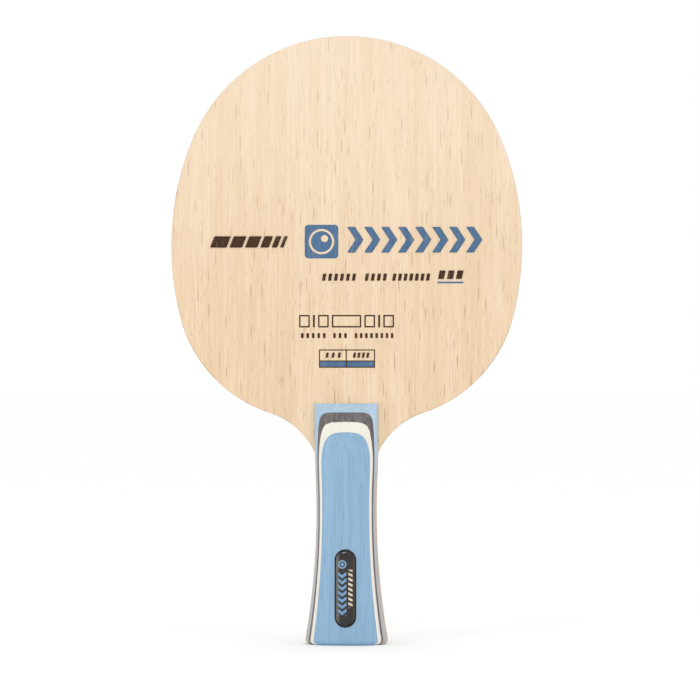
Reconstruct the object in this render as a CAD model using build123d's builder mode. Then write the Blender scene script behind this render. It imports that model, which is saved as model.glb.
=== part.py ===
"""Table tennis blade with a flared handle, bare on both sides and ready for its rubber sheets.

The blade is a sandwich of seven plies cut to one outline, and each side of its tang carries
a handle scale laminated from four sheets of wood. A domed badge sits in the front scale.

Frame: +Z runs from the butt of the handle to the tip of the head, the front faces -Y, and
the blade's middle plane is Y = 0. The origin is the centre of the butt.
"""

import os
from math import cos, radians, sin, sqrt

from build123d import *
from build123d.topology import SkipClean

# Head outline, a chain of tangent arcs (millimetres and degrees)
head_width = 150.0
head_length = 157.0  # from the end of the handle to the tip of the head
widest_line = 67.7  # height of the widest line above the end of the handle
crown_turn = 67.5  # turn of the arc over the top of the head
flank_radius = 126.0  # side of the head below the widest line
flank_turn = 14.0
neck_slope = 72.2  # steepest lean of the head's underside, from upright
neck_radius = 32.0
neck_half_width = 10.5  # where the neck arcs end, under the scales
edge_round = 0.5  # sanded edge all round the head

# Plies, from the middle of the blade outwards
core_thickness = 3.0
inner_veneer_thickness = 0.65
carbon_thickness = 0.2
outer_veneer_thickness = 0.6
rubber_gap = 1.0  # between the end of the handle and the bottom edge of a rubber sheet

# Handle plan
handle_length = 102.7
butt_width = 36.0
waist_width = 25.7
waist_height = 57.0
shoulder_width = 27.5
shoulder_height = 90.0
butt_round = 2.0

# Handle scales, with the sheets from the blade outwards
base_sheet = 3.8
dark_sheet = 1.1
white_sheet = 1.2
top_sheet = 2.7
ramp_length = 21.5  # sloping end of each scale, for the thumb and forefinger
ramp_slope = 0.28  # fall per millimetre along the ramp
ramp_ease = 3.0  # length over which the level top turns into the ramp
bevel_length = 3.3  # steep bevel that ends the base sheet
bevel_foot = 0.6  # square step left below the bevel
bevel_lip = 0.3  # depth of base sheet left above the bevel
grip_side_pull = 1.33  # section handles, as shares of its half depth and half width
grip_crest_pull = 0.17
end_side_pull = 1.8  # larger pulls make the section squarer, as at the end of the ramp
end_crest_pull = 1.4
pull_growth = 1.8  # power of the share of the ramp gone by, so the pulls grow late
station_count = 27  # cross-sections along the handle, close enough to follow the start of the ramp

# Badge in the front scale
badge_length = 33.3
badge_width = 9.2
badge_height = 24.3  # of its centre above the butt
badge_fit = 0.05  # clearance all round in the pocket
pocket_depth = 0.9
tray_rim = 0.55
tray_floor = 0.4
tray_proud = 0.25  # rim above the top of the scale
rim_round = 0.2
foil_thickness = 0.15
dome_edge = 0.3  # depth of the clear dome at its edge
dome_rise = 0.6
dome_fit = 0.02  # between the dome and both the tray's rim and the foil

blade_half = core_thickness / 2 + inner_veneer_thickness + carbon_thickness + outer_veneer_thickness
scale_thickness = base_sheet + dark_sheet + white_sheet + top_sheet
tip_height = handle_length + head_length
rubber_line = handle_length + rubber_gap
ramp_start = handle_length - ramp_length
crest = blade_half + scale_thickness

# Planes at the middle of the blade, each with its normal out of one side
front_side = Plane.XZ
back_side = Plane((0, 0, 0), x_dir=(-1, 0, 0), z_dir=(0, 1, 0))


def oval_radii(half_width, length, turn):
    """Radii of the two tangent arcs that fill a quarter of an oval."""
    s, c = sin(radians(turn)), cos(radians(turn))
    determinant = s * c - (1 - s) * (1 - c)
    first = (half_width * c - length * (1 - s)) / determinant
    second = (length * s - half_width * (1 - c)) / determinant
    return first, second


def half_width_at(height):
    """Half the handle's width: a flare to the butt below the waist, a slight swell above it."""
    if height < waist_height:
        share = (waist_height - height) / waist_height
        return waist_width / 2 + (butt_width - waist_width) / 2 * share**2
    share = (height - waist_height) / (shoulder_height - waist_height)
    return waist_width / 2 + (shoulder_width - waist_width) / 2 * sin(radians(90 * share)) ** 2


def half_depth_at(height):
    """Half the handle's thickness: level along the grip, then falling along the ramp."""
    past = height - ramp_start
    return crest - ramp_slope * (past + sqrt(past**2 + ramp_ease**2)) / 2


def pulls_at(height):
    """The section's side and crest pulls: the ramp gets flatter and squarer towards its end."""
    share = (max(0.0, height - ramp_start) / ramp_length) ** pull_growth
    side_pull = grip_side_pull + (end_side_pull - grip_side_pull) * share
    return side_pull, grip_crest_pull + (end_crest_pull - grip_crest_pull) * share


def finish(piece, name):
    """Label a piece and write it to its own file."""
    piece.part.label = name
    export_step(piece.part, f"parts/{name}.step")


os.makedirs("parts", exist_ok=True)

# The front half of the handle as one sanded blank: a scale and its half of the tang
with BuildPart() as front_blank:
    for index in range(station_count):
        station = handle_length * index / (station_count - 1)
        across, deep = half_width_at(station), half_depth_at(station)
        side_pull, crest_pull = pulls_at(station)
        crown_lift = 1.6 - side_pull / 2  # brings the middle of the curve to the full depth
        edge, hip, brow = (across, 0), (across, -side_pull * deep), (crest_pull * across, -crown_lift * deep)
        with BuildSketch(Plane.XY.offset(station)):
            with BuildLine():
                Bezier(edge, hip, brow, (-brow[0], brow[1]), (-hip[0], hip[1]), (-edge[0], 0))
                Line((-across, 0), (across, 0))
            make_face()
    loft()
    foot = Vector(0, -blade_half - bevel_foot, handle_length)
    outward = Vector(0, -bevel_length, base_sheet - bevel_lip - bevel_foot)
    split(bisect_by=Plane(foot, x_dir=(1, 0, 0), z_dir=outward), keep=Keep.BOTTOM)
    butt_rim = front_blank.faces().sort_by(Axis.Z)[0].edges().sort_by(Axis.Y)[0]
    fillet(butt_rim, radius=butt_round)

with BuildPart() as back_blank:
    add(front_blank.part)
    mirror(about=Plane.XZ, mode=Mode.REPLACE)

# The tang, which runs the length of the handle between the scales
with BuildPart() as tang:
    add(front_blank.part)
    add(back_blank.part)
    split(bisect_by=front_side.offset(blade_half), keep=Keep.BOTTOM)
    split(bisect_by=back_side.offset(blade_half), keep=Keep.BOTTOM)

# The blade as one pressed and sanded blank
crown_radius, side_radius = oval_radii(head_width / 2, head_length - widest_line, crown_turn)
flank_inset = flank_radius * (1 - cos(radians(flank_turn)))
neck_inset = neck_radius * (1 - cos(radians(neck_slope)))
shoulder_span = head_width / 2 - flank_inset - neck_inset - neck_half_width
shoulder_radius = shoulder_span / (cos(radians(flank_turn)) - cos(radians(neck_slope)))

with BuildPart() as blade_blank:
    with BuildSketch(front_side):
        with BuildLine():
            crown = JernArc((0, tip_height), (1, 0), crown_radius, -crown_turn)
            head_side = JernArc(crown @ 1, crown % 1, side_radius, crown_turn - 90)
            flank = JernArc(head_side @ 1, head_side % 1, flank_radius, -flank_turn)
            shoulder = JernArc(flank @ 1, flank % 1, shoulder_radius, flank_turn - neck_slope)
            neck = JernArc(shoulder @ 1, shoulder % 1, neck_radius, neck_slope)
            Line(neck @ 1, (0, (neck @ 1).Y))
            mirror(about=Plane.YZ)
        make_face()
    extrude(amount=blade_half, both=True)
    rims = blade_blank.faces().filter_by(Axis.Y).edges().filter_by(GeomType.CIRCLE)
    fillet(rims, radius=edge_round)
    add(tang.part)

# Core ply
with BuildPart() as core_ply:
    add(blade_blank.part)
    split(bisect_by=front_side.offset(core_thickness / 2), keep=Keep.BOTTOM)
    split(bisect_by=back_side.offset(core_thickness / 2), keep=Keep.BOTTOM)
finish(core_ply, "core_ply")

carbon_level = core_thickness / 2 + inner_veneer_thickness
veneer_level = carbon_level + carbon_thickness
dark_level = blade_half + base_sheet
white_level = dark_level + dark_sheet
top_level = white_level + white_sheet

halves = (("front", front_side, front_blank.part), ("back", back_side, back_blank.part))
for side_name, side, scale_blank in halves:
    with BuildPart() as inner_veneer:
        add(blade_blank.part)
        split(bisect_by=side.offset(core_thickness / 2), keep=Keep.TOP)
        split(bisect_by=side.offset(carbon_level), keep=Keep.BOTTOM)
    finish(inner_veneer, f"{side_name}_inner_veneer")

    with BuildPart() as carbon_ply:
        add(blade_blank.part)
        split(bisect_by=side.offset(carbon_level), keep=Keep.TOP)
        split(bisect_by=side.offset(veneer_level), keep=Keep.BOTTOM)
    finish(carbon_ply, f"{side_name}_carbon_ply")

    # The glue area for a rubber sheet is a face of its own, above a line across the head
    with BuildPart() as veneer_above_line:
        add(blade_blank.part)
        split(bisect_by=side.offset(veneer_level), keep=Keep.TOP)
        split(bisect_by=Plane.XY.offset(rubber_line), keep=Keep.TOP)
    with BuildPart() as outer_veneer:
        add(blade_blank.part)
        split(bisect_by=side.offset(veneer_level), keep=Keep.TOP)
        split(bisect_by=Plane.XY.offset(rubber_line), keep=Keep.BOTTOM)
        with SkipClean():
            add(veneer_above_line.part)
    finish(outer_veneer, f"{side_name}_outer_veneer")

    with BuildPart() as scale_base:
        add(scale_blank)
        split(bisect_by=side.offset(blade_half), keep=Keep.TOP)
        split(bisect_by=side.offset(dark_level), keep=Keep.BOTTOM)
    finish(scale_base, f"{side_name}_scale_base")

    with BuildPart() as scale_dark:
        add(scale_blank)
        split(bisect_by=side.offset(dark_level), keep=Keep.TOP)
        split(bisect_by=side.offset(white_level), keep=Keep.BOTTOM)
    finish(scale_dark, f"{side_name}_scale_dark")

    with BuildPart() as scale_white:
        add(scale_blank)
        split(bisect_by=side.offset(white_level), keep=Keep.TOP)
        split(bisect_by=side.offset(top_level), keep=Keep.BOTTOM)
    finish(scale_white, f"{side_name}_scale_white")

    with BuildPart() as scale_top:
        add(scale_blank)
        split(bisect_by=side.offset(top_level), keep=Keep.TOP)
        if side is front_side:
            with BuildSketch(side.offset(crest - pocket_depth)):
                with Locations((0, badge_height)):
                    SlotOverall(badge_length, badge_width, rotation=90)
            extrude(amount=pocket_depth, mode=Mode.SUBTRACT)
    finish(scale_top, f"{side_name}_scale_top")

# Badge: a tray pressed into the pocket, a metallised foil and a clear dome cast over it
pocket_floor = crest - pocket_depth
foil_level = pocket_floor + tray_floor
dome_level = foil_level + foil_thickness + dome_fit
tray_length = badge_length - 2 * badge_fit
tray_width = badge_width - 2 * badge_fit
well_length = tray_length - 2 * tray_rim
well_width = tray_width - 2 * tray_rim

with BuildPart() as badge_tray:
    with BuildSketch(front_side.offset(pocket_floor)):
        with Locations((0, badge_height)):
            SlotOverall(tray_length, tray_width, rotation=90)
    extrude(amount=pocket_depth + tray_proud)
    with BuildSketch(front_side.offset(foil_level)):
        with Locations((0, badge_height)):
            SlotOverall(well_length, well_width, rotation=90)
    extrude(amount=pocket_depth, mode=Mode.SUBTRACT)
    fillet(badge_tray.faces().sort_by(Axis.Y)[0].edges(), radius=rim_round)
finish(badge_tray, "badge_tray")

with BuildPart() as badge_foil:
    with BuildSketch(front_side.offset(foil_level)):
        with Locations((0, badge_height)):
            SlotOverall(well_length, well_width, rotation=90)
    extrude(amount=foil_thickness)
finish(badge_foil, "badge_foil")

dome_radius = well_width / 2 - dome_fit
dome_reach = (well_length - well_width) / 2  # from the badge's middle to the centre of each end
shoulder_level = dome_level + dome_edge
dome_top = (0, -shoulder_level - dome_rise)
dome_shoulder = (dome_radius, -shoulder_level)
with BuildPart() as badge_dome:
    with BuildSketch(Plane.XY.offset(badge_height - dome_reach)):
        with BuildLine():
            TangentArc(dome_top, dome_shoulder, tangent=(1, 0))
            Polyline(dome_shoulder, (dome_radius, -dome_level), (0, -dome_level))
            mirror(about=Plane.YZ)
        make_face()
    extrude(amount=2 * dome_reach)
    for end in (-1, 1):
        end_height = badge_height + end * dome_reach
        with BuildSketch(Plane.XY.offset(end_height)):
            with BuildLine():
                TangentArc(dome_top, dome_shoulder, tangent=(1, 0))
                Polyline(dome_shoulder, (dome_radius, -dome_level), (0, -dome_level), dome_top)
            make_face()
        revolve(axis=Axis((0, 0, end_height), (0, -end, 0)), revolution_arc=180)
finish(badge_dome, "badge_dome")
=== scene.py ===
# %% [markdown]
# # A table tennis blade, dressed in its own wood
#
# The blade is a sandwich of seven plies cut to one oval, with a flared handle of dyed sheets
# glued to both sides of its tang. The solid pieces come ready made in the right place and at
# the right size. This lesson gives each of them its finish, prints the face with thin layers
# of ink, and sets up a small studio round the blade.

from math import cos, pi, radians, sin

import bpy
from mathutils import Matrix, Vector


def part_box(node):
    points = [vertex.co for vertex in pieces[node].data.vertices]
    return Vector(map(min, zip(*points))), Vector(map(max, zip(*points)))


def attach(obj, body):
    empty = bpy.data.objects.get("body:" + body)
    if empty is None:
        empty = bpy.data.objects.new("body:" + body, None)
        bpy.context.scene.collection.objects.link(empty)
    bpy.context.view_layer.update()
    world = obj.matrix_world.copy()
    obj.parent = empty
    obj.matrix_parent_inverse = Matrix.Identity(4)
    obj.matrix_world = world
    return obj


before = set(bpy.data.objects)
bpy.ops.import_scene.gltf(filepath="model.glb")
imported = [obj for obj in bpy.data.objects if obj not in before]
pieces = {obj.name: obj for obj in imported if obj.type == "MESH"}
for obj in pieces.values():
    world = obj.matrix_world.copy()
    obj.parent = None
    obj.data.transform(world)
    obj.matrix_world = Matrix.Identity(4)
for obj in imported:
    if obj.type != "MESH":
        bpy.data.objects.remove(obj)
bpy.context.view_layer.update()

# %% [markdown]
# ## Units and colours
#
# Blender works in metres, while a blade is thought of in millimetres, so one name turns the
# one into the other. Colours are written the way a paint shop would read them off a chart, from
# 0 to 255, and turned into the linear light that the shaders use.

# %% Millimetres and colour chart
MM = 0.001


def colour(red, green, blue):
    """A chart colour as linear light with full opacity."""
    shares = (value / 255 for value in (red, green, blue))
    return tuple(v / 12.92 if v <= 0.04045 else ((v + 0.055) / 1.055) ** 2.4 for v in shares) + (1.0,)


print("pale veneer in linear light:", [round(value, 3) for value in colour(239, 214, 184)])

# %% [markdown]
# ## Shader sums written as Python sums
#
# A finish is a net of nodes. Drawing it by hand is quick for five nodes and slow for fifty, so a
# small class wraps a node's socket and lets plain Python operators add the Math nodes. A second
# class holds one material, and adds any other node by its type, its settings and its sockets.

# %% A socket that takes part in sums
class Value:
    """A number, colour or vector on its way through the nodes."""

    def __init__(self, finish, socket):
        self.finish, self.socket = finish, socket

    def __add__(self, other):
        return self.finish.sum_of("ADD", self, other)

    def __sub__(self, other):
        return self.finish.sum_of("SUBTRACT", self, other)

    def __rsub__(self, other):
        return self.finish.sum_of("SUBTRACT", other, self)

    def __mul__(self, other):
        return self.finish.sum_of("MULTIPLY", self, other)

    def __truediv__(self, other):
        return self.finish.sum_of("DIVIDE", self, other)

    __radd__, __rmul__ = __add__, __mul__


# %% A material and the nodes it is made of
class Finish:
    """One material, built node by node around its Principled shader."""

    def __init__(self, name, **constants):
        self.material = bpy.data.materials.new(name)
        self.material.use_nodes = True
        self.tree = self.material.node_tree
        self.shader = self.tree.nodes["Principled BSDF"]
        for socket, value in constants.items():
            self.shader.inputs[socket.replace("_", " ")].default_value = value
        self.place = self.node("TexCoord", output="Object")
        self.x, self.y, self.z = (self.node("SeparateXYZ", sockets={0: self.place}, output=axis)
                                  for axis in "XYZ")

    def node(self, kind, settings=None, sockets=None, output=0):
        """Adds a node: its settings first, then what its sockets hold or are linked to."""
        node = self.tree.nodes.new("ShaderNode" + kind)
        for name, value in (settings or {}).items():
            setattr(node, name, value)
        for key, value in (sockets or {}).items():
            self.feed(node.inputs[key], value)
        return Value(self, node.outputs[output])

    def feed(self, socket, value):
        """Links a value to a socket, or sets the socket to a plain number or colour."""
        if isinstance(value, Value):
            self.tree.links.new(value.socket, socket)
        else:
            socket.default_value = value

    def sum_of(self, operation, first, second=0.0):
        """One Math node on two numbers."""
        return self.node("Math", {"operation": operation}, {0: first, 1: second})

    def mix(self, share, first, second):
        """The first colour turning into the second as share goes from 0 to 1."""
        return self.node("Mix", {"data_type": "RGBA"}, {0: share, 6: first, 7: second}, 2)

    def ramp(self, value, low, high):
        """A smooth step from 0 at low to 1 at high, which may be the smaller one."""
        step = {"interpolation_type": "SMOOTHSTEP", "clamp": True}
        return self.node("MapRange", step, {0: value, 1: low, 2: high, 3: 0.0, 4: 1.0})

    def stretched(self, size, shift=0.0):
        """The place on the piece, measured in cells of that size in millimetres."""
        scale = [1 / (length * MM) for length in size]
        where = {0: self.place, 1: (shift, shift * 1.7, shift * 0.6), 3: scale}
        return self.node("Mapping", {}, where)

    def noise(self, size, shift=0.0, detail=2.0):
        """Soft noise around 0.5, with blotches of about that size in millimetres."""
        settings = {0: self.stretched(size, shift), 2: 1.0, 3: detail}
        return self.node("TexNoise", {}, settings)

    def paint(self, bump=None, depth=0.02, **links):
        """Links values to the shader, and a height to its bump."""
        for socket, value in links.items():
            self.feed(self.shader.inputs[socket.replace("_", " ")], value)
        if bump is not None:
            sockets = {"Strength": 1.0, "Distance": depth * MM, "Height": bump}
            self.feed(self.shader.inputs["Normal"], self.node("Bump", {}, sockets))


def dress(finish, *names):
    """Puts a finish on CAD pieces, in every slot they have."""
    for name in names:
        slots = pieces[name].data.materials
        if not slots:
            slots.append(finish.material)
        for index in range(len(slots)):
            slots[index] = finish.material
    print(finish.material.name, "on", ", ".join(names))


# %% [markdown]
# ## What wood looks like
#
# Sliced wood shows the same three things in every species, only in other sizes and strengths:
# broad bands where the tree grew fast or slow, fine fibres along the trunk, and pores, which are
# cut tubes and read as short dark dashes. All three run along the blade, which is the Z axis
# here. Noise stretched along Z gives the bands and fibres. For the pores, cells of a Voronoi
# pattern are stretched into needles, and only some of the cells get one.

# %% Bands, fibres and pores
BAND_STRETCH = 30
FIBRE_STRETCH = 34
PORE_EDGE, PORE_HEART = 0.30, 0.12


def bands(finish, width, shift):
    """Broad tone bands along the grain, from 0 to 1."""
    return finish.ramp(finish.noise((width, width, BAND_STRETCH * width), shift, 3.0), 0.3, 0.7)


def fibres(finish, width, shift):
    """Fine fibres along the grain, from 0 to 1."""
    return finish.ramp(finish.noise((width, width, FIBRE_STRETCH * width), shift, 2.0), 0.28, 0.72)


def pores(finish, spacing, length, share, shift):
    """Short needles along the grain, 1 inside a pore: share is how many cells hold one."""
    place = {0: finish.stretched((spacing, spacing, length), shift), 2: 1.0}
    cells = finish.node("TexVoronoi", {}, place)
    chance = finish.node("SeparateColor", sockets={0: Value(finish, cells.socket.node.outputs["Color"])})
    return finish.ramp(cells, PORE_EDGE, PORE_HEART) * finish.ramp(chance, 1 - share, 1 - share + 0.05)


# %% [markdown]
# ## The face veneer
#
# The outer plies are sliced from a pale, straight-grained hardwood and sanded bare, because the
# rubber is glued to them. The wood is cream with faint pinkish and yellowish bands, and its pores
# are thin brown dashes, some short and some twice as long. Raw wood hardly shines, so the
# roughness is high and moves a little with the grain. The rim was sanded by hand and shows darker
# end fibres, so a mask made from the distance to the blade's middle plane tints it.

# %% Face veneer
face_level = -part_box("front_outer_veneer")[0].y
blade_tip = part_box("core_ply")[1].z
RIM_START, RIM_FULL = 0.05 * MM, 0.3 * MM


def veneer_tone(finish):
    """The colour of the face veneer, with a painted highlight towards the tip, which the ink below also
    lets through.
    """
    slow, fast = bands(finish, 7.0, 3.0), bands(finish, 1.7, 11.0)
    fine, dash = fibres(finish, 0.42, 5.0), pores(finish, 0.62, 7.0, 0.42, 2.0)
    long_dash = pores(finish, 1.5, 15.0, 0.5, 8.0)
    tone = finish.mix(slow, colour(224, 196, 159), colour(233, 209, 179))
    tone = finish.mix(fast * 0.5, tone, colour(240, 217, 191))
    tone = finish.mix(fine * 0.55, tone, colour(214, 185, 148))
    tone = finish.mix(dash * 0.45, tone, colour(168, 130, 90))
    tone = finish.mix(long_dash * 0.42, tone, colour(158, 120, 82))
    # The tone is painted paler towards the tip: a painted highlight where the light falls stronger on the
    # top of the blade.
    height = finish.ramp(finish.z, 0.45 * blade_tip, 1.02 * blade_tip)
    return finish.mix(height * 0.3, tone, colour(245, 232, 216)), fine, dash


veneer = Finish("face_veneer", Roughness=0.55, Specular_IOR_Level=0.35)
tone, fine, dash = veneer_tone(veneer)
depth_out = veneer.sum_of("ABSOLUTE", veneer.y)
rim = veneer.ramp(depth_out, face_level - RIM_START, face_level - RIM_FULL)
tone = veneer.mix(rim * 0.55, tone, colour(176, 140, 100))
veneer.paint(Base_Color=tone, Roughness=0.52 + 0.16 * fine, bump=fine * 0.5 - dash, depth=0.03)
dress(veneer, "front_outer_veneer", "back_outer_veneer")

# %% [markdown]
# ## The plies inside
#
# They show only at the rim, where a saw and sandpaper cut across them. The core is a soft, pale
# wood, the inner veneers are a darker one, and the two carbon plies are flat black ribbons under
# a thin film of glue. One helper makes the two woods, since they differ only in their tones. The
# rim crosses the fibres at the tip and follows them at the sides, and the same stretched noise
# gives both looks by itself.

# %% Core and inner veneers
def rim_wood(name, pale, dark, pore_tone, shift):
    """A raw wood seen at the rim of the blade."""
    wood = Finish(name, Roughness=0.7, Specular_IOR_Level=0.3)
    slow, fine = bands(wood, 2.6, shift), fibres(wood, 0.3, shift + 4)
    specks = pores(wood, 0.5, 5.0, 0.5, shift + 9)
    tone = wood.mix(slow * 0.6 + fine * 0.4, pale, dark)
    tone = wood.mix(specks * 0.6, tone, pore_tone)
    wood.paint(Base_Color=tone, Roughness=0.62 + 0.2 * fine, bump=fine - specks, depth=0.05)
    return wood


CORE_TONES = colour(222, 200, 164), colour(204, 176, 134), colour(150, 116, 78)
INNER_TONES = colour(190, 150, 108), colour(164, 122, 82), colour(112, 78, 50)
core = rim_wood("core_wood", *CORE_TONES, 21.0)
dress(core, "core_ply")
inner = rim_wood("inner_wood", *INNER_TONES, 33.0)
dress(inner, "front_inner_veneer", "back_inner_veneer")

# %% Carbon plies
carbon = Finish("carbon_ply", Roughness=0.4, Specular_IOR_Level=0.5)
tows = carbon.ramp(carbon.noise((0.35, 0.12, 0.35), 4.0, 1.0), 0.35, 0.65)
glue = carbon.ramp(carbon.noise((3.0, 0.3, 3.0), 9.0, 2.0), 0.5, 0.75)
tone = carbon.mix(tows, colour(24, 24, 27), colour(62, 62, 66))
carbon.paint(Base_Color=carbon.mix(glue * 0.4, tone, colour(94, 78, 60)), Roughness=0.3 + 0.3 * tows,
             bump=tows, depth=0.02)
dress(carbon, "front_carbon_ply", "back_carbon_ply")

# %% [markdown]
# ## The dyed handle sheets
#
# Each handle scale is a stack of four sheets, dyed right through before they are glued: blue,
# dark grey, white and blue again. Sanding the stack to its rounded shape brings the glue lines to
# the surface as the curved stripes. The dye takes unevenly, darker along some fibres, so the tone
# again follows stretched noise. Between the dark sheet and the white one the cut isn't clean: torn
# fibres carry one colour a little way into the other. A mask on the distance from the middle
# plane, wobbled by noise, draws that ragged edge.

# %% Levels of the glue lines
dark_level = -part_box("front_scale_base")[0].y
white_level = -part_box("front_scale_dark")[0].y
top_level = -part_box("front_scale_white")[0].y
handle_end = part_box("front_scale_base")[1].z
TORN_SOFTNESS = 0.02 * MM
SEAM_NEAR, SEAM_FAR = 0.03 * MM, 0.12 * MM
print("glue lines (mm):", [round(level / MM, 2) for level in (dark_level, white_level, top_level)])


def beyond(finish, level, wobble, shift):
    """1 where the piece reaches past a glue line, with torn fibres across the grain."""
    torn = finish.noise((0.4, 0.4, 8.0), shift, 2.0) - 0.5
    out = finish.sum_of("ABSOLUTE", finish.y) + torn * (wobble * MM)
    return finish.ramp(out, level - TORN_SOFTNESS, level + TORN_SOFTNESS)


# %% Blue sheets
def dyed(name, red, green, blue, shift):
    """Dyed wood: a finish and its tone, which takes darker bands, paler fibres and dark pores."""
    sheet = Finish(name, Roughness=0.45, Specular_IOR_Level=0.35)
    slow, mid = bands(sheet, 4.5, shift), bands(sheet, 1.1, shift + 3)
    fine, dash = fibres(sheet, 0.4, shift + 6), pores(sheet, 0.7, 6.0, 0.35, shift + 8)
    tone = sheet.mix(slow, colour(red - 9, green - 7, blue - 5), colour(red + 8, green + 7, blue + 6))
    tone = sheet.mix(mid * 0.5, tone, colour(red - 20, green - 16, blue - 12))
    tone = sheet.mix(fine * 0.45, tone, colour(red + 24, green + 18, blue + 13))
    tone = sheet.mix(dash * 0.4, tone, colour(red - 40, green - 40, blue - 38))
    return sheet, tone, fine, dash


def seam_tone(sheet, tone, levels):
    """The tone with a grey trace of glue just beside each glue line."""
    out = sheet.sum_of("ABSOLUTE", sheet.y)
    for level, side in levels:
        seam = sheet.ramp(out, level + side * SEAM_FAR, level + side * SEAM_NEAR)
        tone = sheet.mix(seam * 0.35, tone, colour(128, 142, 152))
    return tone


top_blue, tone, fine, dash = dyed("blue_top_sheet", 134, 170, 199, 40.0)
tone = seam_tone(top_blue, tone, [(top_level, 1)])
top_blue.paint(Base_Color=tone, Roughness=0.4 + 0.14 * fine, bump=fine * 0.5 - dash, depth=0.03)
dress(top_blue, "front_scale_top", "back_scale_top")

# %% Base sheet, painted paler at the handle's end and grey down the sides of the grip, as painted light and shade
FADE_LENGTH, FADE_DROP, FADE_CLOUD = 16.0 * MM, 24.0 * MM, 8.0 * MM
# The base sheet's blue is painted paler than the top sheet's: a painted highlight of the lit bevel at the
# handle's end.
base_blue, tone, fine, dash = dyed("blue_base_sheet", 168, 194, 216, 52.0)
# Below the handle's end the blue turns to a painted grey: painted sheen and shade on the steep sides of
# the grip.
cloud = base_blue.noise((6.0, 6.0, 12.0), 58.0, 2.0) - 0.5
shade_height = handle_end - FADE_DROP
painted_sheen_shade = base_blue.ramp(base_blue.z + cloud * FADE_CLOUD, shade_height + FADE_LENGTH / 2,
                      shade_height - FADE_LENGTH / 2)
grey = base_blue.mix(fine * 0.5 + dash * 0.3, colour(178, 177, 179), colour(164, 161, 160))
tone = seam_tone(base_blue, base_blue.mix(painted_sheen_shade, tone, grey), [(face_level, 1), (dark_level, -1)])
base_blue.paint(Base_Color=tone, Roughness=0.42 + 0.14 * fine, bump=fine * 0.5 - dash, depth=0.03)
dress(base_blue, "front_scale_base", "back_scale_base")

# %% Dark and white sheets
dark = Finish("dark_sheet", Roughness=0.5, Specular_IOR_Level=0.4)
slow, fine = bands(dark, 2.2, 61.0), fibres(dark, 0.45, 64.0)
tone = dark.mix(slow * 0.5 + fine * 0.5, colour(76, 70, 73), colour(124, 117, 117))
tone = dark.mix(pores(dark, 0.8, 5.0, 0.4, 66.0) * 0.5, tone, colour(58, 51, 52))
tone = dark.mix(beyond(dark, white_level, 0.3, 70.0), tone, colour(222, 218, 209))
dark.paint(Base_Color=tone, Roughness=0.46 + 0.14 * fine, bump=fine, depth=0.04)
dress(dark, "front_scale_dark", "back_scale_dark")

white = Finish("white_sheet", Roughness=0.5, Specular_IOR_Level=0.4)
slow, fine = bands(white, 3.0, 73.0), fibres(white, 0.5, 76.0)
tone = white.mix(slow * 0.5 + fine * 0.3, colour(232, 229, 220), colour(225, 220, 209))
tone = white.mix(pores(white, 0.8, 6.0, 0.25, 78.0) * 0.2, tone, colour(190, 178, 158))
tone = white.mix(beyond(white, white_level, 0.3, 70.0), colour(90, 84, 86), tone)
white.paint(Base_Color=tone, Roughness=0.46 + 0.12 * fine, bump=fine, depth=0.02)
dress(white, "front_scale_white", "back_scale_white")

# %% [markdown]
# ## The badge
#
# A badge like this is a black tray pressed into a milled pocket, with a printed metal foil on
# its floor and clear resin poured over it. The tray is black plastic with a faint speckle. The
# foil is brushed along the blade, so its noise is stretched that way. Its dark ground is painted
# paler towards the long edges, more on the left, as a painted reflection of the soft boxes.

# %% Badge tray
tray = Finish("badge_tray", Roughness=0.3, Specular_IOR_Level=0.3)
speckle = tray.noise((0.3, 0.3, 0.3), 81.0, 2.0)
tray_tone = tray.mix(speckle, colour(10, 11, 15), colour(22, 24, 30))
tray.paint(Base_Color=tray_tone, Roughness=0.2 + 0.24 * speckle, bump=speckle, depth=0.01)
dress(tray, "badge_tray")

# %% Ground of the foil
foil_low, foil_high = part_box("badge_foil")
foil_middle = (foil_low.z + foil_high.z) / 2
foil = Finish("badge_foil", Metallic=0.25, Roughness=0.4, Specular_IOR_Level=0.2)
brushed = foil.noise((0.12, 0.12, 3.0), 85.0, 2.0)
ground = foil.mix(foil.ramp(brushed, 0.3, 0.7), colour(20, 17, 16), colour(38, 32, 30))
# The ground is painted paler along the long edges, more on the left: a painted reflection of the soft
# boxes in the dome's curved sides.
LEFT_START, LEFT_FULL = 1.9 * MM, 0.3 * MM
RIGHT_START, RIGHT_FULL = 1.4 * MM, 0.2 * MM
left_painted_reflection = foil.ramp(foil.x, foil_low.x + LEFT_START, foil_low.x + LEFT_FULL)
right_painted_reflection = foil.ramp(foil.x, foil_high.x - RIGHT_START, foil_high.x - RIGHT_FULL)
ground = foil.mix(left_painted_reflection * 0.8, ground, colour(148, 136, 128))
ground = foil.mix(right_painted_reflection * 0.6, ground, colour(92, 68, 54))
print("foil (mm):", [round(length / MM, 2) for length in foil_high - foil_low])

# %% [markdown]
# ## The print on the foil
#
# It is made of plain marks: a ring with a dot in it, a column of chevrons below it, and a column
# of leaning bars beside both. They could be thin pieces like the ink on the face, but they lie
# under the dome and are a few millimetres wide, so they are worked out from the place on the
# foil. A wrapped height makes stripes, a fold at the column's middle bends them into chevrons,
# and a window cuts off both ends. ABOVE_ZERO only lifts the height clear of zero before it is
# wrapped.

# %% Windows, stripes and discs
def window(finish, value, low, high, soft=0.05):
    """1 between two places along an axis, in millimetres, with a soft edge."""
    return (finish.ramp(value, (low - soft) * MM, (low + soft) * MM)
            * finish.ramp(value, (high + soft) * MM, (high - soft) * MM))


def stripes(finish, value, pitch, share):
    """1 on the first share of every pitch along an axis, in millimetres."""
    turn = finish.sum_of("WRAP", value / (pitch * MM), 1.0)
    turn.socket.node.inputs[2].default_value = 0.0
    return finish.ramp(turn, share + 0.03, share - 0.03) * finish.ramp(turn, 0.0, 0.04)


def disc(finish, distance, radius, soft=0.1):
    """1 within a radius in millimetres, fading over its last tenth of a millimetre."""
    return finish.ramp(distance, radius * MM, (radius - soft) * MM)


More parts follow.
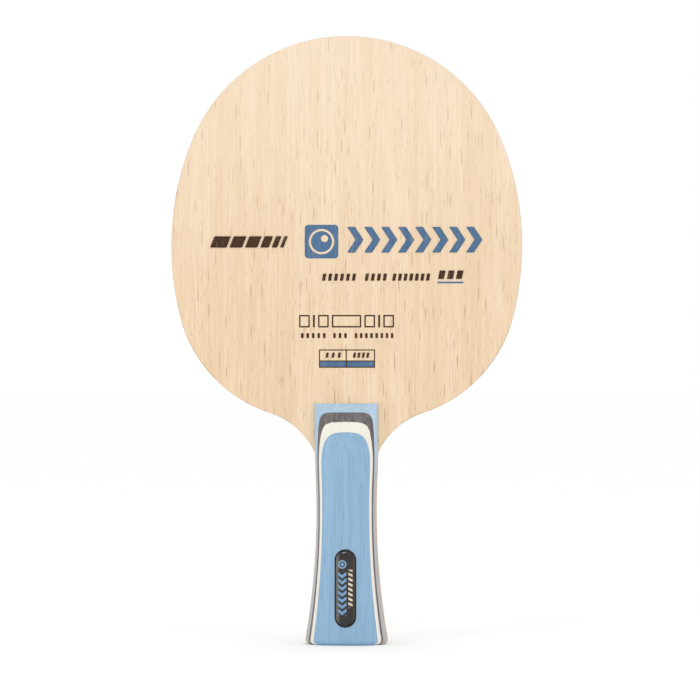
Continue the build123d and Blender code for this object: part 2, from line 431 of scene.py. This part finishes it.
# %% Chevrons, bars and ring on the foil
COLUMN_OFFSET = 1.35 * MM
ABOVE_ZERO = 40 * MM
CHEVRON_SLOPE, BAR_SLOPE = 0.8, 0.45
RING_HEIGHT = 10.2 * MM
RING_OUTSIDE, RING_INSIDE, DOT_RADIUS = 1.85, 1.22, 0.75
height = foil.z - foil_middle
fold = foil.sum_of("ABSOLUTE", foil.x + COLUMN_OFFSET)
chevrons = stripes(foil, height - fold * CHEVRON_SLOPE + ABOVE_ZERO, pitch=2.6, share=0.56)
chevrons = chevrons * window(foil, foil.x, -3.1, 0.4) * window(foil, height, -11.6, 7.0)
bars = stripes(foil, height + foil.x * BAR_SLOPE + ABOVE_ZERO, pitch=2.1, share=0.55)
bars = bars * window(foil, foil.x, 1.2, 3.0) * window(foil, height, -8.2, 8.0)
from_ring = foil.node("CombineXYZ", sockets={0: foil.x + COLUMN_OFFSET, 2: height - RING_HEIGHT})
distance = foil.node("VectorMath", {"operation": "LENGTH"}, {0: from_ring}, output="Value")
ring = disc(foil, distance, RING_OUTSIDE) * (1 - disc(foil, distance, RING_INSIDE))
ring = ring + disc(foil, distance, DOT_RADIUS)
tone = foil.mix(chevrons, ground, colour(132, 178, 222))
tone = foil.mix(ring, tone, colour(142, 186, 228))
tone = foil.mix(bars, tone, colour(244, 233, 208))
foil.paint(Base_Color=tone, Roughness=0.28 + 0.2 * brushed, bump=brushed, depth=0.01)
dress(foil, "badge_foil")

# %% [markdown]
# ## The dome
#
# The resin stands up as a low dome, which is what makes the badge flash as it is tilted. It is a
# clear shader with a few faint smudges. The dome's mesh is made of flat facets, which would break
# up its reflections. A finer mesh would cure that, but the solid pieces stay as they came, so the
# front takes the direction of the true dome instead: it leans outwards in step with the distance
# from the middle line. The sides and back keep their own direction.

# %% Clear resin
dome = Finish("badge_dome", Roughness=0.03, IOR=1.3, Transmission_Weight=1.0)
smudge = dome.ramp(dome.noise((2.4, 2.4, 2.4), 91.0, 3.0), 0.45, 0.75)
resin_tone = dome.mix(smudge, colour(255, 255, 255), colour(246, 243, 238))
dome.paint(Base_Color=resin_tone, Roughness=0.02 + 0.05 * smudge)

# %% Direction of the dome's front
dome_low, dome_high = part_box("badge_dome")
DOME_RISE = 0.6 * MM
dome_half = dome_high.x
dome_radius = (dome_half**2 + DOME_RISE**2) / (2 * DOME_RISE)
dome_reach = (dome_high.z - dome_low.z) / 2 - dome_half
dome_z = dome.z - (dome_high.z + dome_low.z) / 2
past_low = dome.sum_of("MINIMUM", dome_z + dome_reach, 0.0)
past_high = dome.sum_of("MAXIMUM", dome_z - dome_reach, 0.0)
lean_up = (past_low + past_high) / dome_radius
lean = dome.node("CombineXYZ", sockets={0: dome.x / dome_radius, 1: -1.0, 2: lean_up})
facet = dome.node("NewGeometry", output="Normal")
forward = dome.ramp(dome.node("SeparateXYZ", sockets={0: facet}, output="Y"), -0.8, -0.9)
normal = dome.node("Mix", {"data_type": "VECTOR"}, {0: forward, 4: facet, 5: lean}, 1)
dome.paint(Normal=dome.node("VectorMath", {"operation": "NORMALIZE"}, {0: normal}))
print("dome radius (mm):", round(dome_radius / MM, 2))
dress(dome, "badge_dome")

# %% [markdown]
# ## Ink on the face
#
# Real blades are printed with flat colour straight onto the wood. Here the printing is made of
# plain shapes: leaning blocks, a ball in a square, chevrons, rows of ticks and a small gauge.
# Each is a layer of ink two hundredths of a millimetre thick, so that it is a piece of its own
# with crisp edges. Ink soaks into raw wood, which is why its colour follows the grain under it:
# the same fibres and pores are mixed in faintly. CUT_DEPTH is how deep the tools are that cut
# windows into the ink, so that they pass right through it.

# %% Ink finishes
INK_DEPTH = 0.02 * MM
CUT_DEPTH = 1.0 * MM


def ink(name, deep, thin):
    """Printing ink on bare wood, thinner over the raised fibres and pores."""
    coat = Finish(name, Roughness=0.55, Specular_IOR_Level=0.15)
    # The wood that shows through the ink carries the veneer's painted highlight towards the tip.
    wood, fine, dash = veneer_tone(coat)
    worn = coat.ramp(coat.noise((1.2, 1.2, 14.0), 95.0, 3.0), 0.55, 0.8)
    tone = coat.mix(fine * 0.6, deep, thin)
    tone = coat.mix(dash * 0.25 + worn * 0.12, tone, wood)
    coat.paint(Base_Color=tone, Roughness=0.44 + 0.16 * fine, bump=fine * 0.5 - dash, depth=0.02)
    return coat


dark_ink = ink("dark_ink", colour(58, 36, 22), colour(84, 60, 42))
blue_ink = ink("blue_ink", colour(72, 103, 138), colour(92, 123, 152))
print("inks:", dark_ink.material.name, blue_ink.material.name)

# %% [markdown]
# ## Cutting the shapes
#
# Nearly every printed shape starts as a thin block added at its size and place, and is then
# shaped in edit mode. Its back lies on the veneer. The helpers below select points by where they
# are, slide them, and round the corners seen from the front. A shape that repeats is modelled
# once and copied, and the copies are joined into one layer of ink.

# %% Helpers for blocks of ink
def alone(piece):
    """Makes a piece the only one selected, and the active one."""
    bpy.ops.object.select_all(action="DESELECT")
    piece.select_set(True)
    bpy.context.view_layer.objects.active = piece


def ink_block(left, right, low, high, depth=INK_DEPTH):
    """A thin block on the face, between two widths and two heights in millimetres."""
    bpy.ops.object.select_all(action="DESELECT")
    middle = ((left + right) / 2 * MM, -face_level - INK_DEPTH / 2, (low + high) / 2 * MM)
    bpy.ops.mesh.primitive_cube_add(size=1, location=middle)
    piece = bpy.context.object
    piece.dimensions = ((right - left) * MM, depth, (high - low) * MM)
    bpy.ops.object.transform_apply(location=True, rotation=True, scale=True)
    return piece


def slide(piece, chosen, across):
    """Moves the points for which chosen(x, z) is true sideways, by millimetres."""
    alone(piece)
    for point in piece.data.vertices:
        point.select = chosen(point.co.x / MM, point.co.z / MM)
    for part in (*piece.data.edges, *piece.data.polygons):
        part.select = False
    bpy.ops.object.mode_set(mode="EDIT")
    bpy.ops.mesh.select_mode(type="VERT")
    bpy.ops.transform.translate(value=(across * MM, 0, 0))
    bpy.ops.object.mode_set(mode="OBJECT")


def round_corners(piece, radius, steps=4):
    """Rounds the edges that run straight into the wood."""
    alone(piece)
    points = piece.data.vertices
    for part in (*points, *piece.data.polygons):
        part.select = False
    for edge in piece.data.edges:
        first, second = (points[index].co for index in edge.vertices)
        edge.select = abs(first.y - second.y) > INK_DEPTH / 2
    bpy.ops.object.mode_set(mode="EDIT")
    bpy.ops.mesh.select_mode(type="EDGE")
    bpy.ops.mesh.bevel(offset=radius * MM, segments=steps, profile=0.5)
    bpy.ops.object.mode_set(mode="OBJECT")


def copy_of(piece, across):
    """A copy with its own mesh, moved across by millimetres."""
    alone(piece)
    bpy.ops.object.duplicate(linked=False)
    bpy.ops.transform.translate(value=(across * MM, 0, 0))
    bpy.ops.object.transform_apply(location=True, rotation=False, scale=False)
    return bpy.context.object


def layer(name, parts, finish):
    """Joins shapes into one layer of ink and hands it to the blade."""
    alone(parts[0])
    for part in parts:
        part.select_set(True)
    bpy.ops.object.join()
    piece = bpy.context.object
    bpy.ops.object.shade_smooth_by_angle(angle=radians(30))
    piece.name = piece.data.name = name
    piece.data.materials.clear()
    piece.data.materials.append(finish.material)
    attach(piece, "root")
    print(name, "shapes:", len(parts), "faces:", len(piece.data.polygons))


# %% [markdown]
# ## Leaning blocks and chevrons
#
# The left of the face carries a row of heavy blocks that lean to the right, as if in motion. A
# block leans once its top points are slid sideways. The right of the face carries tall chevrons:
# a block is cut in two by a level plane at half its height, and the points on the cut are slid to
# the right, which bends both the outer and the inner edge.

# %% Leaning blocks
BLOCK_LEFT, BLOCK_GAP = -58.3, 1.3
BLOCK_LOW, BLOCK_HIGH, BLOCK_LEAN, BLOCK_CORNER = 169.4, 174.2, 1.9, 0.35
BLOCK_WIDTHS = (7.0, 5.4, 5.2, 3.6, 2.3, 1.4)
blocks = []
block_left = BLOCK_LEFT
for width in BLOCK_WIDTHS:
    block = ink_block(block_left, block_left + width, BLOCK_LOW, BLOCK_HIGH)
    slide(block, lambda x, z: z > (BLOCK_LOW + BLOCK_HIGH) / 2, BLOCK_LEAN)
    round_corners(block, BLOCK_CORNER)
    blocks.append(block)
    block_left += width + BLOCK_GAP
layer("print_leaning_blocks", blocks, dark_ink)

# %% Chevrons
CHEVRON_LEFT, CHEVRON_STROKE, CHEVRON_POINT = 0.4, 3.3, 3.6
CHEVRON_LOW, CHEVRON_HIGH, CHEVRON_CORNER = 167.2, 178.1, 0.25
CHEVRON_PITCH, CHEVRON_COUNT = 7.25, 8
CUT_REACH = 0.5
chevron = ink_block(CHEVRON_LEFT, CHEVRON_LEFT + CHEVRON_STROKE, CHEVRON_LOW, CHEVRON_HIGH)
half_height = (CHEVRON_LOW + CHEVRON_HIGH) / 2
bpy.ops.object.mode_set(mode="EDIT")
bpy.ops.mesh.select_all(action="SELECT")
bpy.ops.mesh.bisect(plane_co=(0, 0, half_height * MM), plane_no=(0, 0, 1))
bpy.ops.object.mode_set(mode="OBJECT")
slide(chevron, lambda x, z: abs(z - half_height) < CUT_REACH, CHEVRON_POINT)
round_corners(chevron, CHEVRON_CORNER)
copies = [copy_of(chevron, CHEVRON_PITCH * step) for step in range(1, CHEVRON_COUNT)]
layer("print_chevrons", [chevron] + copies, blue_ink)

# %% [markdown]
# ## The ball in a square
#
# Between the blocks and the chevrons sits a square with a round window and a ball in it. Both are
# cut by a Boolean with a cylinder, which leaves a clean edge: the square loses a wide disc, and
# the ball, itself a smaller disc, loses a little one at its upper right, like a glint of light.

# %% Discs and cuts
DISC_POINTS = 96


def ink_disc(x, z, radius, depth=INK_DEPTH):
    """A thin disc on the face."""
    bpy.ops.object.select_all(action="DESELECT")
    place = (x * MM, -face_level - INK_DEPTH / 2, z * MM)
    bpy.ops.mesh.primitive_cylinder_add(vertices=DISC_POINTS, radius=radius * MM, depth=depth,
                                        location=place, rotation=(pi / 2, 0, 0))
    bpy.ops.object.transform_apply(location=True, rotation=True, scale=True)
    return bpy.context.object


def cut_out(piece, tool):
    """Takes one solid out of another and clears the tool away."""
    alone(piece)
    cutter = piece.modifiers.new("window", "BOOLEAN")
    cutter.operation, cutter.object, cutter.solver = "DIFFERENCE", tool, "EXACT"
    bpy.ops.object.modifier_apply(modifier="window")
    bpy.data.objects.remove(tool)
    return piece


# %% Ball in a square
BALL_X, BALL_Z, BALL_RADIUS = -10.6, 171.9, 4.5
SQUARE_HALF, SQUARE_CORNER, WINDOW_RADIUS = 7.2, 1.6, 5.4
GLINT_SHIFT, GLINT_RADIUS = 1.3, 1.5
square = ink_block(BALL_X - SQUARE_HALF, BALL_X + SQUARE_HALF, BALL_Z - SQUARE_HALF, BALL_Z + SQUARE_HALF)
round_corners(square, SQUARE_CORNER, 8)
cut_out(square, ink_disc(BALL_X, BALL_Z, WINDOW_RADIUS, CUT_DEPTH))
ball = ink_disc(BALL_X, BALL_Z, BALL_RADIUS)
cut_out(ball, ink_disc(BALL_X + GLINT_SHIFT, BALL_Z + GLINT_SHIFT, GLINT_RADIUS, CUT_DEPTH))
layer("print_ball", [square, ball], blue_ink)

# %% [markdown]
# ## Rows of ticks
#
# Below the large shapes come finer rows, of the kind that a maker uses for small print. Here they
# are groups of leaning ticks, three wide ticks above a blue underline, a row that draws the
# sandwich with open frames for wood and thin bars for carbon, and a row of dots. A row needs only
# the left edges of its ticks, which a helper counts out for each group.

# %% Helpers for rows
def tick_row(lefts, width, low, high, lean, corner):
    """Copies of one tick, each with its left edge at one of the given places."""
    tick = ink_block(lefts[0], lefts[0] + width, low, high)
    if lean:
        slide(tick, lambda x, z: z > (low + high) / 2, lean)
    round_corners(tick, corner, 3)
    return [tick] + [copy_of(tick, left - lefts[0]) for left in lefts[1:]]


def group(start, count, pitch):
    """Left edges of a group of ticks."""
    return [start + pitch * index for index in range(count)]


# %% Small ticks, wide ticks and the underline
small_lefts = group(-10.4, 6, 2.55) + group(7.9, 4, 2.55) + group(19.6, 7, 2.4)
small = tick_row(small_lefts, width=1.35, low=155.2, high=158.2, lean=0.5, corner=0.2)
layer("print_small_ticks", small, dark_ink)
wide_lefts = group(39.2, 3, 3.8)
wide = tick_row(wide_lefts, width=2.5, low=155.9, high=159.5, lean=0.7, corner=0.25)
layer("print_wide_ticks", wide, dark_ink)
underline = ink_block(left=38.9, right=50.0, low=154.0, high=154.8)
round_corners(underline, 0.2, 3)
layer("print_underline", [underline], blue_ink)

# %% The sandwich, drawn as open frames and thin bars
def ink_frame(left, right, low, high, line):
    """An open frame: a block with a smaller block cut out of it."""
    outer = ink_block(left, right, low, high)
    round_corners(outer, 0.3, 3)
    return cut_out(outer, ink_block(left + line, right - line, low + line, high - line, CUT_DEPTH))


SANDWICH_LEFT, SANDWICH_LOW, SANDWICH_HIGH = -20.2, 135.2, 140.6
FRAME_LINE, PLY_GAP = 0.65, 1.3
WOOD, CARBON, CORE = ("wood", 4.6), ("carbon", 0.9), ("wood", 12.6)
sandwich, ply_left = [], SANDWICH_LEFT
for ply, width in (WOOD, CARBON, WOOD, CORE, WOOD, CARBON, WOOD):
    ply_right = ply_left + width
    if ply == "wood":
        sandwich.append(ink_frame(ply_left, ply_right, SANDWICH_LOW, SANDWICH_HIGH, FRAME_LINE))
    else:
        sandwich.append(ink_block(ply_left, ply_right, SANDWICH_LOW, SANDWICH_HIGH))
        round_corners(sandwich[-1], 0.25, 3)
    ply_left += width + PLY_GAP
layer("print_sandwich", sandwich, dark_ink)

# %% Dots
dot_lefts = group(-19.4, 5, 2.35) + group(-5.6, 3, 2.35) + group(3.6, 8, 2.2)
dots = tick_row(dot_lefts, width=1.15, low=130.6, high=132.9, lean=0.0, corner=0.5)
layer("print_dots", dots, dark_ink)

# %% [markdown]
# ## The gauge
#
# Last comes a small gauge: a frame of dark ink with two open cells above two blue ones. The frame is
# one block with four windows cut out of it, and the blue fills are blocks that just fit the lower
# windows. Each open cell holds a few plain ticks.

# %% Cells of the gauge
GAUGE_LEFT, GAUGE_SPLIT, GAUGE_RIGHT = -11.7, 0.0, 12.3
GAUGE_LOW, GAUGE_MIDDLE, GAUGE_HIGH, GAUGE_LINE = 118.0, 120.9, 125.85, 0.5
columns = ((GAUGE_LEFT + GAUGE_LINE, GAUGE_SPLIT - GAUGE_LINE / 2),
           (GAUGE_SPLIT + GAUGE_LINE / 2, GAUGE_RIGHT - GAUGE_LINE))
BLUE_ROW = (GAUGE_LOW + GAUGE_LINE, GAUGE_MIDDLE - GAUGE_LINE / 2)
OPEN_ROW = (GAUGE_MIDDLE + GAUGE_LINE / 2, GAUGE_HIGH - GAUGE_LINE)
cells = [(*column, *row) for column in columns for row in (BLUE_ROW, OPEN_ROW)]
print("cells:", len(cells))

# %% Frame, ticks and blue fills
gauge = ink_block(GAUGE_LEFT, GAUGE_RIGHT, GAUGE_LOW, GAUGE_HIGH)
round_corners(gauge, 0.2, 2)
for cell in cells:
    cut_out(gauge, ink_block(*cell, CUT_DEPTH))
mark_lefts = group(-8.9, 3, 2.6) + group(2.8, 4, 1.9)
marks = tick_row(mark_lefts, width=1.0, low=122.3, high=124.5, lean=0.4, corner=0.2)
layer("print_gauge", [gauge] + marks, dark_ink)
fills = [ink_block(*column, *BLUE_ROW) for column in columns]
for fill in fills:
    round_corners(fill, 0.1, 2)
layer("print_gauge_band", fills, blue_ink)

# %% [markdown]
# ## The studio
#
# The blade stands on its butt on a wide, pale floor, under an even white sky, which is how a
# light tent works. The sky alone would leave the handle flat, so three soft boxes in front shape
# it: a tall one at the left is the strongest, a tall one at the right is weaker, and a wide,
# shallow one above the camera is the weakest. The camera is a long lens a little below the middle
# of the blade and slightly to its right, far enough away for the sides of the handle to stay
# straight.

# %% Floor
FLOOR_RADIUS = 9.0
bpy.ops.object.select_all(action="DESELECT")
bpy.ops.mesh.primitive_circle_add(vertices=128, radius=FLOOR_RADIUS, fill_type="NGON",
                                  location=(0, 0, 0))
floor = bpy.context.object
floor.name = "studio_floor"
paper = Finish("studio_paper", Roughness=0.9, Specular_IOR_Level=0.0)
mottle = paper.noise((40.0, 40.0, 40.0), 99.0, 3.0)
paper.paint(Base_Color=paper.mix(mottle, colour(253, 253, 253), colour(255, 255, 254)))
floor.data.materials.append(paper.material)
print("floor radius (m):", FLOOR_RADIUS)

# %% Sky and soft boxes
sky = bpy.data.worlds.new("light_tent")
bpy.context.scene.world = sky
sky.use_nodes = True
background = sky.node_tree.nodes["Background"]
background.inputs["Color"].default_value = (1.0, 1.0, 1.0, 1.0)
background.inputs["Strength"].default_value = 1.0


def soft_box(name, place, aim, size, watts):
    """A rectangular lamp at a place, turned to face a point."""
    bpy.ops.object.light_add(type="AREA", location=place)
    lamp = bpy.context.object
    lamp.name = name
    lamp.data.shape = "RECTANGLE"
    lamp.data.size, lamp.data.size_y = size
    lamp.data.energy = watts
    lamp.rotation_euler = (Vector(aim) - Vector(place)).to_track_quat("-Z", "Y").to_euler()
    print(name, "watts:", watts)


MIDDLE = (0.0, 0.0, 0.13)
soft_box("key_box", place=(-0.8, -1.15, 0.6), aim=MIDDLE, size=(0.14, 0.8), watts=1.6)
soft_box("brow_box", place=(-0.16, -1.25, 0.58), aim=MIDDLE, size=(0.4, 0.08), watts=0.5)
soft_box("fill_box", place=(0.9, -1.0, 0.5), aim=MIDDLE, size=(0.12, 0.7), watts=1.0)

# %% Camera
CAMERA_TURN = radians(2.5)
AXIS_SHIFT, CAMERA_Z = 1.45 * MM, 125.6 * MM
CAMERA_DISTANCE, VIEW_WIDTH = 1.6, 298.9 * MM
SENSOR_WIDTH = 36.0
camera_data = bpy.data.cameras.new("studio_camera")
camera = bpy.data.objects.new("studio_camera", camera_data)
bpy.context.scene.collection.objects.link(camera)
along = Vector((sin(CAMERA_TURN), -cos(CAMERA_TURN), 0))
across = Vector((cos(CAMERA_TURN), sin(CAMERA_TURN), 0))
from_axis = along * (CAMERA_DISTANCE + face_level) + across * AXIS_SHIFT
camera.location = from_axis + Vector((0, 0, CAMERA_Z))
camera.rotation_euler = (pi / 2, 0, CAMERA_TURN)
camera_data.sensor_width = SENSOR_WIDTH
camera_data.lens = SENSOR_WIDTH * CAMERA_DISTANCE / VIEW_WIDTH
camera_data.clip_end = 50.0
bpy.context.scene.camera = camera
bpy.context.scene.view_settings.view_transform = "Standard"
print("lens (mm):", round(camera_data.lens, 1))
